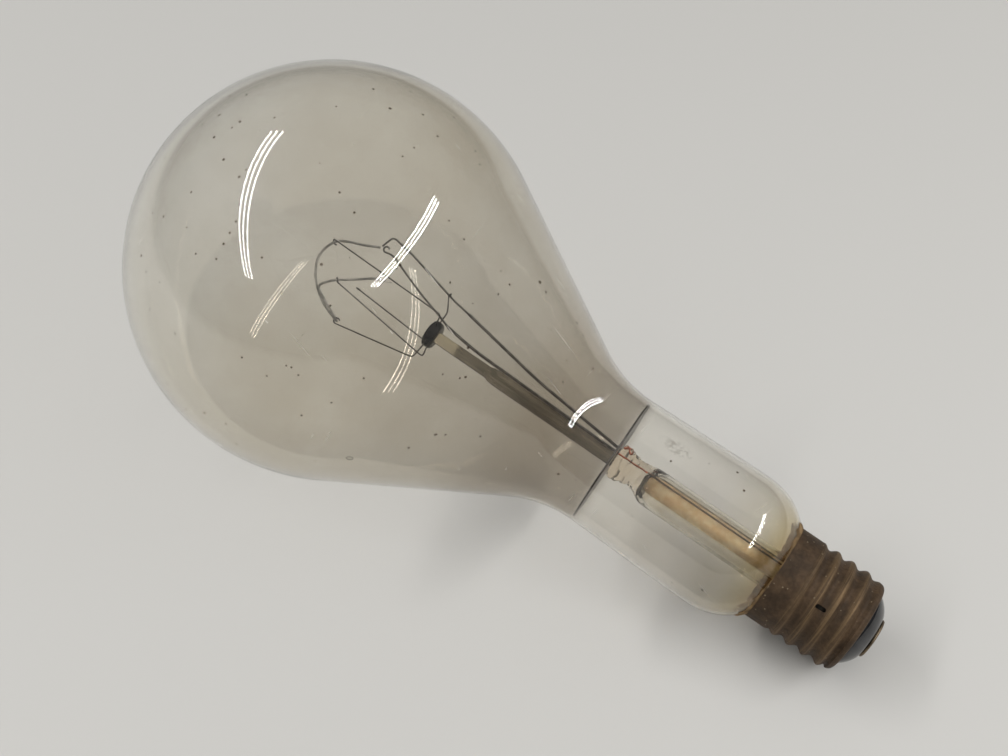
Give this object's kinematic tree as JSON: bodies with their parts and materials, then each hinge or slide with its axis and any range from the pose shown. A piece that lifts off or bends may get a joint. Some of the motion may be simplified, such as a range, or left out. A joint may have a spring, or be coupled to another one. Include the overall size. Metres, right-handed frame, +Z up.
{
  "type": "burnt-out light bulb",
  "caption": "Large clear pear-shaped incandescent lamp with a mogul screw base, burnt out: broken coil on wire supports, darkened glass and oxidised brass shell.",
  "frame": {"origin": "on the surface the lamp lies on, under the middle of its box", "axes": "+Z up; +X level along the lamp from the globe towards the screw base; the lamp lies on its globe and its shell as in the picture, so its own axis runs down towards the base"},
  "size_m": [0.323, 0.1644, 0.1645],
  "materials": {
    "bulb_glass": "clear blown glass with a grey-brown film inside, dust and fine scratches",
    "stem_glass": "clear glass, browned towards the pinch",
    "stained_glass": "glass tube stained tan by heat",
    "black_glass": "black glass with a dull grey sheen",
    "mica": "thin greyed mica sheet",
    "nickel": "darkened nickel wire",
    "molybdenum": "dark thin wire",
    "tungsten": "grey coiled wire",
    "copper": "reddish copper-clad wire",
    "solder": "dull solder",
    "cement": "tan baked cement with a ragged edge",
    "shell_brass": "rolled brass oxidised dark brown, golden where the thread is rubbed",
    "contact_brass": "tarnished flat contact"
  },
  "bodies": {
    "root": {"glass_bulb": "bulb_glass", "stem_flare": "stem_glass", "exhaust_tube": "stained_glass", "arbor_rod": "stem_glass", "support_button": "black_glass", "heat_disc": "mica", "inner_lead_a": "nickel", "inner_lead_b": "nickel", "lead_tip_a": "nickel", "lead_tip_b": "nickel", "lead_brace": "molybdenum", "support_wire_1": "molybdenum", "support_wire_2": "molybdenum", "support_wire_3": "molybdenum", "support_wire_4": "molybdenum", "filament": "tungsten", "seal_wire_a": "copper", "seal_wire_b": "copper", "outer_lead_side": "copper", "outer_lead_centre": "copper", "side_solder": "solder", "centre_solder": "solder", "base_cement": "cement", "screw_shell": "shell_brass", "base_insulator": "black_glass", "centre_contact": "contact_brass"}
  },
  "joints": []
}
